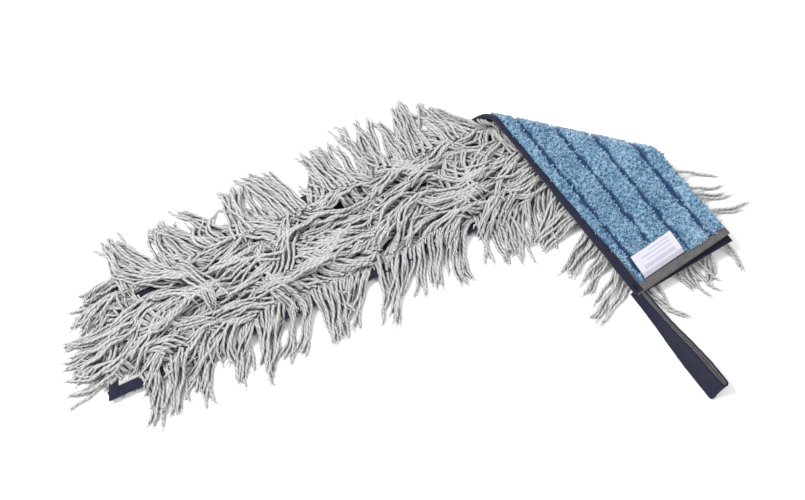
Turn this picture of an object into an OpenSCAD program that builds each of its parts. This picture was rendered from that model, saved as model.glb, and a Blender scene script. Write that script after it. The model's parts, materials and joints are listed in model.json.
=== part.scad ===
// Double-sided flat mop cover: a microfibre sheet and a yarn-fringed backing
// sewn together as a sleeve, lying yarn side up with its open end folded over.
// Millimetres. +X runs along the sleeve, +Z is up, and the origin lies on the
// underside, on the centre line of the sleeve.

/* [Sleeve] */
// Width of the sleeve across its bound edges
cover_w = 120; // [100:1:125]
// Length along the centre line, laid flat
sleeve_l = 755; // [700:1:910]
// How much shorter the back edge is at the closed end, which slants
closed_end_skew = 52; // [30:1:62]
// How much shorter the back edge is at the open end
mouth_skew = 6; // [0:1:12]
// From the front corner of the closed end to the origin
datum_x = 300; // [240:1:330]

/* [Fold] */
// From the front corner of the closed end to the fold, on the centre line
fold_from_end = 579; // [480:1:590]
// Angle between the fold and the long edges
fold_angle = 40; // [38:0.5:46]
// Outer diameter of the rolled fold
fold_d = 35.2; // [34:0.1:44]
// Slope of the folded flap towards the floor
flap_slope = 6.3; // [5:0.1:6.5]

/* [Microfibre side] */
// Height of the cut pile
pile_h = 4.8; // [3:0.1:5]
// Thickness of the knitted ground under the pile
ground_t = 1.2; // [0.8:0.1:1.6]
// Width of a bare groove between the pile bands
groove_w = 2.4; // [1.5:0.1:4]
// Depth of a groove
groove_d = 3; // [1:0.1:3]
// Grooves across the width
groove_n = 4; // [2:1:6]

/* [Backing and bindings] */
// Thickness of the backing cloth
backing_t = 1.2; // [0.8:0.1:1.6]
// Width of the binding on each face
binding_w = 9.5; // [7:0.5:11]
// Thickness of the binding tape
binding_t = 0.6; // [0.4:0.05:0.7]

/* [Yarn] */
// Rows of yarn
row_n = 5; // [3:1:6]
// Width of the header tape that holds a row
header_w = 12; // [8:0.5:12]
// Thickness of a header tape
header_t = 0.8; // [0.8:0.1:1.2]
// Height of a loose row above its header tape
yarn_h = 17; // [12:0.5:20]
// Height of a row pressed under the flap
pressed_h = 4.6; // [3:0.1:4.8]
// Length of the fringe past the bound edge
fringe_l = 52; // [35:1:62]
// Width of one tuft of the fringe
tuft_w = 26; // [18:1:36]
// Clearance between neighbouring masses of yarn
yarn_gap = 0.3; // [0.2:0.1:0.6]

/* [Open end] */
// How far the microfibre corner lifts off the backing
gape = 8; // [6:0.5:10]
// Length of the lifted corner along the front edge
gape_l = 60; // [50:1:80]

/* [Label] */
// Width of the label along the binding
label_w = 52; // [30:1:55]
// Length of the label from the binding
label_l = 28; // [16:1:30]
// From the back edge to the label
label_inset = 17; // [12:0.5:18]
// Thickness of the label
label_t = 0.4; // [0.3:0.1:0.6]

/* [Hanging loop] */
// Length of the loop past the corner
loop_l = 132; // [90:1:160]
// Width of the loop tape where it is spread open
loop_w = 24; // [18:0.5:26]
// Gap between the two legs of the loop at its widest
loop_gap = 14; // [13:0.5:18]
// Lean of the tape from upright
loop_lean = 20; // [10:1:22]
// Thickness of each of the two tapes
loop_t = 0.9; // [0.6:0.1:1.2]

/* [Hidden] */
$fn = 32;
big = 2400;
half_w = cover_w / 2;
front = -1;
back = 1;

// heights of the layers, laid flat with the pile down
z_ground = pile_h;
z_pocket = z_ground + ground_t;
z_seam = z_pocket + binding_t;
z_backing = z_seam + binding_t;
z_header = z_backing + backing_t;
z_row = z_header + header_t;
z_pressed = z_row + pressed_h;

// the fold: a roll about an axis that crosses the sleeve at fold_angle
roll_r = fold_d / 2;
wrap = 180 + flap_slope;
fold_x = fold_from_end - datum_x;
along = [cos(fold_angle), -sin(fold_angle), 0];
outward = [sin(fold_angle), cos(fold_angle), 0];
roll_c = [fold_x, 0, roll_r] - roll_r * outward;
turn_steps = 12;
flap_heading = -2 * fold_angle;
fold_back_x = fold_x - half_w / tan(fold_angle);

// the yarn reaches just past the bindings
web_t = binding_t;
row_pitch = (cover_w - 2 * binding_w - header_w - 1) / (row_n - 1);
slip = 0.02;
yarn_edge = half_w + web_t + yarn_gap;
flap_clear = 5;
front_fringe_end = fold_back_x + cover_w / tan(2 * fold_angle) - flap_clear;
fringe_floor = 0.5;
fringe_drop = [[0, 22], [0.2, 20], [0.55, 13], [1, 4]];

// the end lines, in from the bound edge by a distance
function slant(skew) = sqrt(1 + pow(skew / cover_w, 2));
function closed_x(y, in = 0) =
    -datum_x + closed_end_skew * (y / cover_w + 0.5) + in * slant(closed_end_skew);
function mouth_x(y, in = 0) =
    -datum_x + closed_end_skew / 2 + sleeve_l - mouth_skew * y / cover_w - in * slant(mouth_skew);
function fold_line_x(y, q) = fold_x + (q - y * cos(fold_angle)) / sin(fold_angle);

// a point of the flat sleeve, carried round the roll onto the flap
function folded(p) =
    let (v = p - 2 * roll_r * outward - roll_c)
    let (a = v * outward)
    let (b = v[2])
    roll_c + (v * along) * along
        + (a * cos(wrap) - b * sin(wrap)) * outward
        + [0, 0, a * sin(wrap) + b * cos(wrap)];

// profiles across the sleeve, as [y, z]
function groove_y(i) = cover_w * ((i + 0.65) / (groove_n + 0.3) - 0.5);
function groove_cut(y) = [
    [y - groove_w / 2, 0], [y - groove_w / 2, groove_d], [y + groove_w / 2, groove_d], [y + groove_w / 2, 0]
];
pile_half_w = half_w - binding_w;
microfibre_profile = concat(
    [[-half_w, z_pocket], [-half_w, z_ground], [-pile_half_w, z_ground], [-pile_half_w, 0]],
    [for (i = [0 : groove_n - 1]) each groove_cut(groove_y(i))],
    [[pile_half_w, 0], [pile_half_w, z_ground], [half_w, z_ground], [half_w, z_pocket]]
);
function box_profile(y0, y1, z0, z1) = [[y0, z0], [y1, z0], [y1, z1], [y0, z1]];
function tape_profile(side, z0, z1) = [
    for (p = [
        [half_w - binding_w, z0], [half_w + web_t, z0], [half_w + web_t, z1], [half_w - binding_w, z1],
        [half_w - binding_w, z1 - binding_t], [half_w, z1 - binding_t],
        [half_w, z0 + binding_t], [half_w - binding_w, z0 + binding_t]
    ]) [side * p[0], p[1]]
];
tape_ends = [[0, 1, 6, 7], [1, 2, 5, 6], [2, 3, 4, 5]];
grey_z = [z_ground - binding_t, z_seam];
navy_z = [z_seam, z_header + binding_t];

// yarn rows
function row_y(i) = (i - (row_n + 1) / 2) * row_pitch;
function row_y0(i) = i == 1 ? -yarn_edge : row_y(i) - row_pitch / 2 + yarn_gap / 2;
function row_y1(i) = i == row_n ? yarn_edge : row_y(i) + row_pitch / 2 - yarn_gap / 2;
row_round = 5;
function row_profile(y0, y1, h) = [
    [y0, z_row], [y1, z_row], [y1, z_row + h - row_round], [y1 - row_round, z_row + h],
    [y0 + row_round, z_row + h], [y0, z_row + h - row_round]
];

// the loop, in its own frame: x along it, y across it
loop_root_w = 5;
loop_bow_l = 95;
loop_tip_r = 3;
loop_start = 3.2;
loop_root_y = loop_t + yarn_gap / 2;
loop_lift = 0.4;
loop_z = loop_w / 2 * cos(loop_lean) + loop_lift;
function loop_y(x) =
    loop_root_y + (loop_gap / 2 + loop_t - loop_root_y) * sin(180 * min(1, x / loop_l))
        + (loop_tip_r - loop_root_y) * x / loop_l;
function loop_half_w(x) =
    loop_root_w / 2 + (loop_w - loop_root_w) / 2 * pow(sin(90 * min(1, max(0, x - 6) / loop_bow_l)), 2);
leg_n = 14;
tip_n = 6;
leg_path = [for (i = [0 : leg_n]) let (x = loop_l * i / leg_n) [x, -loop_y(x)]];
loop_path = concat(
    leg_path,
    [for (i = [1 : tip_n - 1]) let (a = -90 + 180 * i / tip_n) [loop_l + loop_tip_r * cos(a), loop_tip_r * sin(a)]],
    [for (i = [leg_n : -1 : 0]) [leg_path[i][0], -leg_path[i][1]]]
);
function unit(v) = v / norm(v);
function path_normal(path, i) =
    let (a = path[max(0, i - 1)], b = path[min(len(path) - 1, i + 1)])
    let (d = unit(b - a))
    [d[1], -d[0]];

// the label, in its own frame: x in from the binding, z towards the pile
label_rise = 4;
label_lift = 0.4;
label_drop = z_ground - binding_t - label_lift - label_t;
label_y = half_w - label_inset - label_w / 2;

module flat_outline(in_closed = 0, in_mouth = 0, reach = half_w)
    polygon([
        [closed_x(-reach, in_closed), -reach], [mouth_x(-reach, in_mouth), -reach],
        [mouth_x(reach, in_mouth), reach], [closed_x(reach, in_closed), reach]
    ]);

// the side of the sleeve before the roll, and the side past it
module main_half()
    translate([roll_c[0], roll_c[1], -big / 2]) rotate([0, 0, -fold_angle])
        translate([-big / 2, -big, 0]) cube([big, big, big]);

module flap_half()
    translate([roll_c[0], roll_c[1], -big / 2] + (2 * roll_r + slip) * outward) rotate([0, 0, -fold_angle])
        translate([-big / 2, 0, 0]) cube([big, big, big]);

module fold_over()
    translate(roll_c) rotate(a = wrap, v = along) translate(-roll_c - 2 * roll_r * outward) children();

module on_main() intersection() { children(); main_half(); }
module on_flap() fold_over() intersection() { children(); flap_half(); }

// a profile run straight along the sleeve, ending at the two end lines
module run(profile, in_closed = 0, in_mouth = 0, reach = half_w + web_t)
    intersection() {
        translate([-big / 2, 0, 0]) rotate([90, 0, 90]) linear_extrude(big) polygon(profile);
        translate([0, 0, -big / 4]) linear_extrude(big / 2) flat_outline(in_closed, in_mouth, reach);
    }

// the same profile swept round the roll, with its ends closed by the given faces
module turn(profile, ends = undef) {
    n = len(profile);
    caps = is_undef(ends) ? [[for (i = [0 : n - 1]) i]] : ends;
    points = [
        for (k = [0 : turn_steps]) for (p = profile)
            let (psi = wrap * k / turn_steps, q = roll_r * (2 * k / turn_steps - 1))
            let (t = q / tan(fold_angle) - p[0] / sin(fold_angle), rho = roll_r - p[1])
            [fold_x, 0, 0] + t * along + [0, 0, roll_r - rho * cos(psi)]
                + (rho * sin(psi) - roll_r) * outward
    ];
    sides = [
        for (k = [0 : turn_steps - 1]) for (i = [0 : n - 1])
            let (a = k * n + i, b = k * n + (i + 1) % n)
            each [[a, b, b + n], [a, b + n, a + n]]
    ];
    start = [for (c = caps) [for (i = [len(c) - 1 : -1 : 0]) c[i]]];
    end = [for (c = caps) [for (i = c) turn_steps * n + i]];
    polyhedron(points, concat(start, sides, end));
}

// the corner of the microfibre side that stands off the backing at the mouth
crease_start = [mouth_x(half_w), half_w];
crease = [mouth_x(-half_w) - gape_l, -half_w] - crease_start;
crease_angle = atan2(crease[1], crease[0]);
lift_angle = asin(gape / gape_l / cover_w * norm([gape_l, cover_w]));
function past_crease(p) = cross(crease, p - crease_start) / norm(crease);

module corner_frame()
    translate([crease_start[0], crease_start[1], z_seam]) rotate([0, 0, crease_angle]) children();

module corner_half() corner_frame() translate([-big / 2, 0, -big / 2]) cube([big, big, big]);

module lift_corner() {
    difference() { children(); corner_half(); }
    corner_frame() rotate([-lift_angle, 0, 0]) rotate([0, 0, -crease_angle])
        translate(-[crease_start[0], crease_start[1], z_seam])
            intersection() { children(); corner_half(); }
}

module microfibre() {
    color("steelblue") difference() {
        run(microfibre_profile, reach = half_w);
        translate([0, 0, -big / 2 + z_ground]) linear_extrude(big / 2) difference() {
            flat_outline(-1, -1);
            flat_outline(binding_w, binding_w + label_rise + label_lift);
        }
    }
}

module microfibre_main() on_main() microfibre();
module microfibre_turn() color("steelblue") turn(microfibre_profile);
module microfibre_flap() on_flap() lift_corner() microfibre();

module backing() color("midnightblue") run(box_profile(-half_w, half_w, z_backing, z_header), reach = half_w);
module backing_main() on_main() backing();
module backing_turn() color("midnightblue") turn(box_profile(-half_w, half_w, z_backing, z_header));
module backing_flap() on_flap() backing();

module grey_tape(side) color("gray") run(tape_profile(side, grey_z[0], grey_z[1]));
module navy_tape(side) color("midnightblue") run(tape_profile(side, navy_z[0], navy_z[1]));
module grey_tape_main(side) on_main() grey_tape(side);
module grey_tape_turn(side) color("gray") turn(tape_profile(side, grey_z[0], grey_z[1]), tape_ends);
module grey_tape_flap(side) on_flap() lift_corner() grey_tape(side);
module navy_tape_main(side) on_main() navy_tape(side);
module navy_tape_turn(side) color("midnightblue") turn(tape_profile(side, navy_z[0], navy_z[1]), tape_ends);
module navy_tape_flap(side) on_flap() navy_tape(side);

// a tape folded round an end, between the tapes of the long edges
module end_tape(z, closed) {
    reach = half_w - binding_w;
    module band(z0, z1, in0, in1) translate([0, 0, z0]) linear_extrude(z1 - z0)
        intersection() {
            difference() {
                flat_outline(closed ? in0 : 0, closed ? 0 : in0, reach);
                flat_outline(closed ? in1 : -1, closed ? -1 : in1, reach + 1);
            }
            translate([closed ? -big : fold_x, -reach]) square([big + (closed ? fold_x : 0), 2 * reach]);
        }
    band(z[0], z[0] + binding_t, 0, binding_w);
    band(z[1] - binding_t, z[1], 0, binding_w);
    band(z[0], z[1], -web_t, 0);
}

module grey_tape_closed_end() color("gray") end_tape(grey_z, true);
module navy_tape_closed_end() color("midnightblue") end_tape(navy_z, true);
module grey_tape_mouth() color("gray") on_flap() lift_corner() end_tape(grey_z, false);
module navy_tape_mouth() color("midnightblue") on_flap() end_tape(navy_z, false);

module header_tape(i)
    run(box_profile(row_y(i) - header_w / 2, row_y(i) + header_w / 2, z_header, z_row), binding_w, binding_w);
module header_tapes_main() color("lightgray") on_main() for (i = [1 : row_n]) header_tape(i);
module header_tapes_turn() color("lightgray")
    for (i = [1 : row_n]) turn(box_profile(row_y(i) - header_w / 2, row_y(i) + header_w / 2, z_header, z_row));
module header_tapes_flap() color("lightgray") on_flap() for (i = [1 : row_n]) header_tape(i);

module left_of_flap()
    translate([fold_back_x - flap_clear, half_w, -1]) rotate([0, 0, flap_heading])
        translate([-big, -big, 0]) cube([2 * big, big, big]);

module row_run(i, profile) run(profile, -web_t - yarn_gap, -web_t - yarn_gap, yarn_edge);

module yarn_row_main(i) color("gainsboro") {
    on_main() intersection() {
        row_run(i, row_profile(row_y0(i), row_y1(i), yarn_h));
        left_of_flap();
    }
    on_main() row_run(i, box_profile(row_y0(i), row_y1(i), z_row, z_pressed));
}

module yarn_row_flap(i) color("gainsboro") on_flap() row_run(i, box_profile(row_y0(i), row_y1(i), z_row, z_pressed));

module yarn_rows_turn() color("gainsboro")
    for (i = [1 : row_n]) turn(box_profile(row_y0(i), row_y1(i), z_row, z_pressed));

// tufts that hang outwards from a straight line of length l, towards -Y
module tufts(l, profile) {
    n = max(1, floor(l / tuft_w));
    w = l / n;
    comb = [for (i = [0 : n - 1]) each [
        [i * w, -fringe_l * 0.55],
        [(i + 0.35) * w, -fringe_l * (0.93 + 0.07 * sin(i * 137))],
        [(i + 0.7) * w, -fringe_l * (0.9 + 0.07 * cos(i * 101))]
    ]];
    intersection() {
        translate([0, 0, -big / 4]) linear_extrude(big / 2)
            polygon(concat([[0, 0]], comb, [[l, -fringe_l * 0.55], [l, 0]]));
        translate([-1, 0, 0]) rotate([90, 0, 90]) linear_extrude(l + 2) polygon(profile);
    }
}

hanging = concat([[0, fringe_floor]], [for (p = fringe_drop) [-fringe_l * p[0], p[1]]], [[-fringe_l, fringe_floor]]);
pressed = box_profile(-fringe_l, 0, z_row, z_pressed - 1);

module front_fringe_main() color("gainsboro")
    translate([closed_x(-yarn_edge), -yarn_edge, 0]) tufts(front_fringe_end - closed_x(-yarn_edge), hanging);

module back_fringe_main() {
    end = fold_line_x(yarn_edge, -roll_r);
    color("gainsboro") translate([end, yarn_edge, 0]) rotate([0, 0, 180])
        tufts(end - closed_x(yarn_edge), hanging);
}

module closed_end_fringe() {
    in = -web_t - yarn_gap;
    a = [closed_x(yarn_edge, in), yarn_edge];
    b = [closed_x(-yarn_edge, in), -yarn_edge];
    color("gainsboro") translate([a[0], a[1], 0]) rotate([0, 0, atan2(b[1] - a[1], b[0] - a[0])])
        tufts(norm(b - a), hanging);
}

module front_fringe_flap() {
    start = fold_line_x(-yarn_edge, roll_r) + flap_clear;
    color("gainsboro") fold_over() translate([start, -yarn_edge, 0]) tufts(mouth_x(-yarn_edge) - start, pressed);
}

// starts past the fringe of the main part, which it would otherwise lie on
module back_fringe_flap() {
    start = fold_back_x + (cover_w + fringe_l + 2 * flap_clear) / sin(2 * fold_angle);
    end = mouth_x(yarn_edge) - flap_clear;
    color("gainsboro") fold_over() translate([end, yarn_edge, 0]) rotate([0, 0, 180])
        tufts(end - start, pressed);
}

module mouth_fringe() {
    in = -web_t - yarn_gap;
    top_y = half_w - loop_gap - flap_clear;
    a = [mouth_x(-half_w, in), -half_w];
    b = [mouth_x(top_y, in), top_y];
    color("gainsboro") fold_over() translate([a[0], a[1], 0]) rotate([0, 0, atan2(b[1] - a[1], b[0] - a[0])])
        tufts(norm(b - a), pressed);
}

// the label is sewn along the inner edge of the mouth tape, and tilts with the lifted corner
module care_label() {
    ends = [for (y = [label_y + label_w / 2, label_y - label_w / 2]) [mouth_x(y, binding_w), y]];
    tilt = asin(past_crease(ends[1]) * sin(lift_angle) / label_w);
    color("white") fold_over() translate([ends[0][0], ends[0][1], z_ground - binding_t - label_lift])
        rotate([0, 0, atan2(mouth_skew, cover_w)]) rotate([tilt, 0, 0])
            rotate([90, 0, 0]) linear_extrude(label_w) polygon([
                [0, 0], [-label_t, 0], [-label_rise, -label_drop - label_t],
                [-label_l, -label_drop - label_t], [-label_l, -label_drop - 2 * label_t],
                [-label_rise + label_t / 2, -label_drop - 2 * label_t], [0, -label_t * 1.2]
            ]);
}

loop_corner = folded([mouth_x(half_w), half_w, z_seam]);

// one tape of the loop, between two offsets from its path
module loop_tape(inner, outer) {
    n = len(loop_path);
    points = [
        for (i = [0 : n - 1]) let (p = loop_path[i], m = path_normal(loop_path, i), h = loop_half_w(p[0]))
            each [for (c = [[inner, -h], [outer, -h], [outer, h], [inner, h]])
                [p[0] + c[0] * m[0], p[1] + c[0] * m[1] + c[1] * sin(loop_lean), c[1] * cos(loop_lean)]]
    ];
    sides = [for (i = [0 : n - 2]) for (j = [0 : 3])
        let (a = 4 * i + j, b = 4 * i + (j + 1) % 4) each [[a, b + 4, b], [a, a + 4, b + 4]]];
    translate([loop_corner[0], loop_corner[1], loop_z]) rotate([0, 0, flap_heading])
        translate([loop_start, 0, 0])
        polyhedron(points, concat([[0, 1, 2, 3]], sides, [[4 * n - 1, 4 * n - 2, 4 * n - 3, 4 * n - 4]]));
}

module loop_navy_tape() color("midnightblue") loop_tape(0, loop_t);
module loop_grey_tape() color("gray") loop_tape(-loop_t, 0);

module loop_bar_tack() {
    tack = [8, 3, 0.8];
    color("slategray") fold_over()
        translate([mouth_x(half_w) - tack[0] - 4, half_w - tack[1] - 1, grey_z[0] - tack[2] - slip])
            cube(tack);
}

microfibre_main();
microfibre_turn();
microfibre_flap();
backing_main();
backing_turn();
backing_flap();
grey_tape_main(front);  // grey_tape_front_main
grey_tape_turn(front);  // grey_tape_front_turn
grey_tape_flap(front);  // grey_tape_front_flap
grey_tape_main(back);  // grey_tape_back_main
grey_tape_turn(back);  // grey_tape_back_turn
grey_tape_flap(back);  // grey_tape_back_flap
navy_tape_main(front);  // navy_tape_front_main
navy_tape_turn(front);  // navy_tape_front_turn
navy_tape_flap(front);  // navy_tape_front_flap
navy_tape_main(back);  // navy_tape_back_main
navy_tape_turn(back);  // navy_tape_back_turn
navy_tape_flap(back);  // navy_tape_back_flap
grey_tape_closed_end();
navy_tape_closed_end();
grey_tape_mouth();
navy_tape_mouth();
header_tapes_main();
header_tapes_turn();
header_tapes_flap();
yarn_row_main(1);  // yarn_row_1_main
yarn_row_main(2);  // yarn_row_2_main
yarn_row_main(3);  // yarn_row_3_main
yarn_row_main(4);  // yarn_row_4_main
yarn_row_main(5);  // yarn_row_5_main
yarn_row_flap(1);  // yarn_row_1_flap
yarn_row_flap(2);  // yarn_row_2_flap
yarn_row_flap(3);  // yarn_row_3_flap
yarn_row_flap(4);  // yarn_row_4_flap
yarn_row_flap(5);  // yarn_row_5_flap
yarn_rows_turn();
front_fringe_main();
back_fringe_main();
closed_end_fringe();
front_fringe_flap();
back_fringe_flap();
mouth_fringe();
care_label();
loop_navy_tape();
loop_grey_tape();
loop_bar_tack();
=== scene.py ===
import json
import math

import bmesh
import bpy
import numpy as np
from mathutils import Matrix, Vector


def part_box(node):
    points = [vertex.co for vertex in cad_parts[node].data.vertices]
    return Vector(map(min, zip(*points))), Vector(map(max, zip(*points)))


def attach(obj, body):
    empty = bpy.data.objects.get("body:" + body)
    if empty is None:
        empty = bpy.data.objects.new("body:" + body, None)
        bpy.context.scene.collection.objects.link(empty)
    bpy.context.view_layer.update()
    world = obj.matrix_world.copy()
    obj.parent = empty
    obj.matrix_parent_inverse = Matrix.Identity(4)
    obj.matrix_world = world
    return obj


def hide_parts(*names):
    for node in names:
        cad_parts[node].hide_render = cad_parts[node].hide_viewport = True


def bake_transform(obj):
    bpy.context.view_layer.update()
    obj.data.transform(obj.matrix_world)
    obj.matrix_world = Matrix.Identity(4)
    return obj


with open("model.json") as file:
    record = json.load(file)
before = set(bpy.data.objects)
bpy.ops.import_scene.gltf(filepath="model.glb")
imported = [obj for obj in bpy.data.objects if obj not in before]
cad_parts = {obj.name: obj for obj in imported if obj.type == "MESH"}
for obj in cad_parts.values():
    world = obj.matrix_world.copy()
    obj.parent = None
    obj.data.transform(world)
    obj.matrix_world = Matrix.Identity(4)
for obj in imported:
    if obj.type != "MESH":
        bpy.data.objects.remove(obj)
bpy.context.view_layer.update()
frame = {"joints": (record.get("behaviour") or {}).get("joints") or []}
rng = np.random.default_rng(7)

sleeve = {
    "length": 0.755,                # along the centre line, flat
    "endSkew": 0.052,               # slant of the closed end
    "mouthSkew": 0.006,
    "slope": math.radians(6.3),     # fall of the folded flap
    "hingeOut": 0.006,              # hinge axis, out from the centre of the roll
    "bindingWidth": 0.0095,
    "tape": 0.0006,
    "pile": 0.0048,
    "ground": 0.0012,
    "backing": 0.0012,
    "header": 0.0008,
    "gape": 0.008,                  # lift of the free corner at the mouth
    "gapeLength": 0.060,
    "grooves": 4,
}

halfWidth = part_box("backing_main")[1][1]
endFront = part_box("backing_main")[0][0]
joints = {j["name"]: j for j in frame["joints"]}
along = -np.array(joints["end_fold"]["axis"], float)
outward = np.array([-along[1], along[0], 0.0])
up = np.array([0.0, 0.0, 1.0])
wrap = math.pi + sleeve["slope"]
halfSlope = sleeve["slope"] / 2
rollCentre = np.array(joints["end_fold"]["pos_m"], float)
rollCentre = rollCentre - sleeve["hingeOut"] * (math.cos(halfSlope) * outward + math.sin(halfSlope) * up)
rollRadius = rollCentre[2]

# heights above the floor, laid flat with the pile down
zGround = sleeve["pile"]
zPocket = zGround + sleeve["ground"]
zSeam = zPocket + sleeve["tape"]
zBacking = zSeam + sleeve["tape"]
zHeader = zBacking + sleeve["backing"]
zRow = zHeader + sleeve["header"]
mouthCentre = endFront + sleeve["endSkew"] / 2 + sleeve["length"]


def backingMouthX(y, inset=0.0):
    # the backing reaches past the microfibre side, most at the free corner
    return mouthX(y, inset) + 0.007 * (halfWidth - y) / (2 * halfWidth)


def closedX(y, inset=0.0):
    slant = sleeve["endSkew"] / (2 * halfWidth)
    return endFront + sleeve["endSkew"] / 2 + slant * y + inset * math.hypot(1, slant)


def mouthX(y, inset=0.0):
    return mouthCentre - sleeve["mouthSkew"] / (2 * halfWidth) * y - inset


def foldDistance(p):
    return (p - rollCentre) @ outward - rollRadius     # past the crest of the fold


def laid(p):
    # flat points, carried round the roll
    p = np.asarray(p, float)
    q = foldDistance(p)
    psi = np.clip((q / rollRadius + 1) / 2, 0, 1) * wrap
    rho = rollRadius - p[:, 2]
    past = np.maximum(q - rollRadius, 0)
    before = np.minimum(q + rollRadius, 0)
    reach = rho * np.sin(psi) + before + past * np.cos(psi)
    rise = past * np.sin(psi) - rho * np.cos(psi)
    t = (p - rollCentre) @ along
    return rollCentre + t[:, None] * along + reach[:, None] * outward + rise[:, None] * up


def lifted(p):
    # the free corner of the microfibre side at the mouth, standing off the backing
    p = np.array(p, float)
    a = np.array([mouthX(halfWidth), halfWidth])
    b = np.array([mouthX(-halfWidth) - sleeve["gapeLength"], -halfWidth])
    edge = (b - a) / np.linalg.norm(b - a)
    s = np.maximum((p[:, 0] - a[0]) * -edge[1] + (p[:, 1] - a[1]) * edge[0], 0)
    reach = sleeve["gapeLength"] * 2 * halfWidth / math.hypot(sleeve["gapeLength"], 2 * halfWidth)
    p[:, 2] -= sleeve["gape"] * (s / reach) * s / (s + 0.006)
    return p


def smoothNoise(x, seed, scale):
    # slow wander in -1 to 1, for one coordinate
    r = np.random.default_rng(seed)
    knots = r.uniform(-1, 1, 4096)
    t = np.asarray(x, float) / scale + 2000
    i = np.floor(t).astype(int)
    f = t - i
    f = f * f * (3 - 2 * f)
    return knots[i % 4096] * (1 - f) + knots[(i + 1) % 4096] * f


def cloudNoise(p, seed, scale):
    # the same, over points of a sheet
    r = np.random.default_rng(seed)
    knots = r.uniform(-1, 1, (256, 256))
    t = np.asarray(p, float)[:, :2] / scale + 100
    i = np.floor(t).astype(int)
    f = t - i
    f = f * f * (3 - 2 * f)
    x0, y0 = i[:, 0] % 256, i[:, 1] % 256
    x1, y1 = (i[:, 0] + 1) % 256, (i[:, 1] + 1) % 256
    a = knots[x0, y0] * (1 - f[:, 0]) + knots[x1, y0] * f[:, 0]
    b = knots[x0, y1] * (1 - f[:, 0]) + knots[x1, y1] * f[:, 0]
    return a * (1 - f[:, 1]) + b * f[:, 1]


# materials

def material(name, colour, rough):
    m = bpy.data.materials.new(name)
    m.use_nodes = True
    shader = m.node_tree.nodes["Principled BSDF"]
    shader.inputs["Base Color"].default_value = (*colour, 1)
    shader.inputs["Roughness"].default_value = rough
    shader.inputs["Specular IOR Level"].default_value = 0.15
    return m, m.node_tree, shader


def addNode(tree, kind, inputs=None, **settings):
    n = tree.nodes.new(kind)
    for key, value in settings.items():
        setattr(n, key, value)
    for key, value in (inputs or {}).items():
        if isinstance(value, bpy.types.NodeSocket):
            tree.links.new(value, n.inputs[key])
        else:
            n.inputs[key].default_value = value
    return n


def ramp(tree, factor, stops):
    n = addNode(tree, "ShaderNodeValToRGB", {"Fac": factor})
    while len(n.color_ramp.elements) < len(stops):
        n.color_ramp.elements.new(0.5)
    for element, (place, colour) in zip(n.color_ramp.elements, stops):
        element.position = place
        element.color = (*colour, 1)
    return n.outputs["Color"]


def maths(tree, operation, a, b=0.0):
    return addNode(tree, "ShaderNodeMath", {0: a, 1: b}, operation=operation).outputs[0]


def objectNoise(tree, scale, detail=3.0):
    place = addNode(tree, "ShaderNodeTexCoord").outputs["Object"]
    noise = addNode(tree, "ShaderNodeTexNoise", {"Vector": place, "Scale": scale, "Detail": detail})
    return noise.outputs["Fac"]


def bumped(tree, shader, height, strength, distance):
    b = addNode(tree, "ShaderNodeBump", {"Height": height, "Strength": strength, "Distance": distance})
    tree.links.new(b.outputs["Normal"], shader.inputs["Normal"])


def mixed(tree, factor, a, b, blend="MIX"):
    n = addNode(tree, "ShaderNodeMix", data_type="RGBA", blend_type=blend)
    for socket, value in ((n.inputs[0], factor), (n.inputs[6], a), (n.inputs[7], b)):
        if isinstance(value, bpy.types.NodeSocket):
            tree.links.new(value, socket)
        else:
            socket.default_value = (*value, 1) if isinstance(value, tuple) else value
    return n.outputs[2]


yarnLook = {
    # tones from dark to light, covering the random tone of the fibres and the painted shade in the twist
    # grooves
    "shade": [(0.0, (0.19, 0.188, 0.186)), (0.40, (0.37, 0.368, 0.365)), (1.0, (0.60, 0.597, 0.59))],
    # painted shade: the near-black colour the yarn turns to in the creases where strands touch and crowd
    "between": (0.035, 0.035, 0.04),
    "turns": 9.0,       # twists along a strand
    "plies": 2.0,
}


def yarnMaterial():
    m, tree, shader = material("twistedYarn", (0.7, 0.69, 0.66), 0.92)
    uv = addNode(tree, "ShaderNodeUVMap", uv_map="UVMap").outputs["UV"]
    parts = addNode(tree, "ShaderNodeSeparateXYZ", {0: uv})
    twist = maths(tree, "MULTIPLY", parts.outputs["X"], yarnLook["turns"] * 2 * math.pi)
    around = maths(tree, "MULTIPLY", parts.outputs["Y"], yarnLook["plies"] * 2 * math.pi)
    ply = maths(tree, "SINE", maths(tree, "ADD", twist, around))
    ply = maths(tree, "ADD", maths(tree, "MULTIPLY", ply, 0.5), 0.5)
    fibre = objectNoise(tree, 900.0, 2.0)
    patch = objectNoise(tree, 42.0, 3.0)
    # the ply share of the tone is painted shade in the grooves between the twisted plies, the same sine
    # that drives the bump; the fibre and patch noise are random tone
    tone = maths(tree, "ADD", maths(tree, "MULTIPLY", ply, 0.42), maths(tree, "MULTIPLY", fibre, 0.30))
    tone = maths(tree, "ADD", tone, maths(tree, "MULTIPLY", patch, 0.35))
    # painted shade: the ambient occlusion factor mixes the yarn colour towards the dark between-colour in
    # the creases between strands, where shade falls
    clear = addNode(tree, "ShaderNodeAmbientOcclusion", {"Distance": 0.006}, samples=6).outputs["AO"]
    colour = mixed(tree, clear, yarnLook["between"], ramp(tree, tone, yarnLook["shade"]))
    tree.links.new(colour, shader.inputs["Base Color"])
    height = maths(tree, "ADD", ply, maths(tree, "MULTIPLY", fibre, 0.5))
    bumped(tree, shader, height, 0.6, 0.0010)
    shader.inputs["Sheen Weight"].default_value = 0.15
    return m


def frayMaterial():
    m, tree, shader = material("frayedPlies", (0.62, 0.61, 0.585), 0.95)
    fibre = objectNoise(tree, 700.0, 2.0)
    shades = [(0.2, (0.42, 0.415, 0.405)), (0.8, (0.66, 0.655, 0.64))]
    tree.links.new(ramp(tree, fibre, shades), shader.inputs["Base Color"])
    return m


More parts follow.
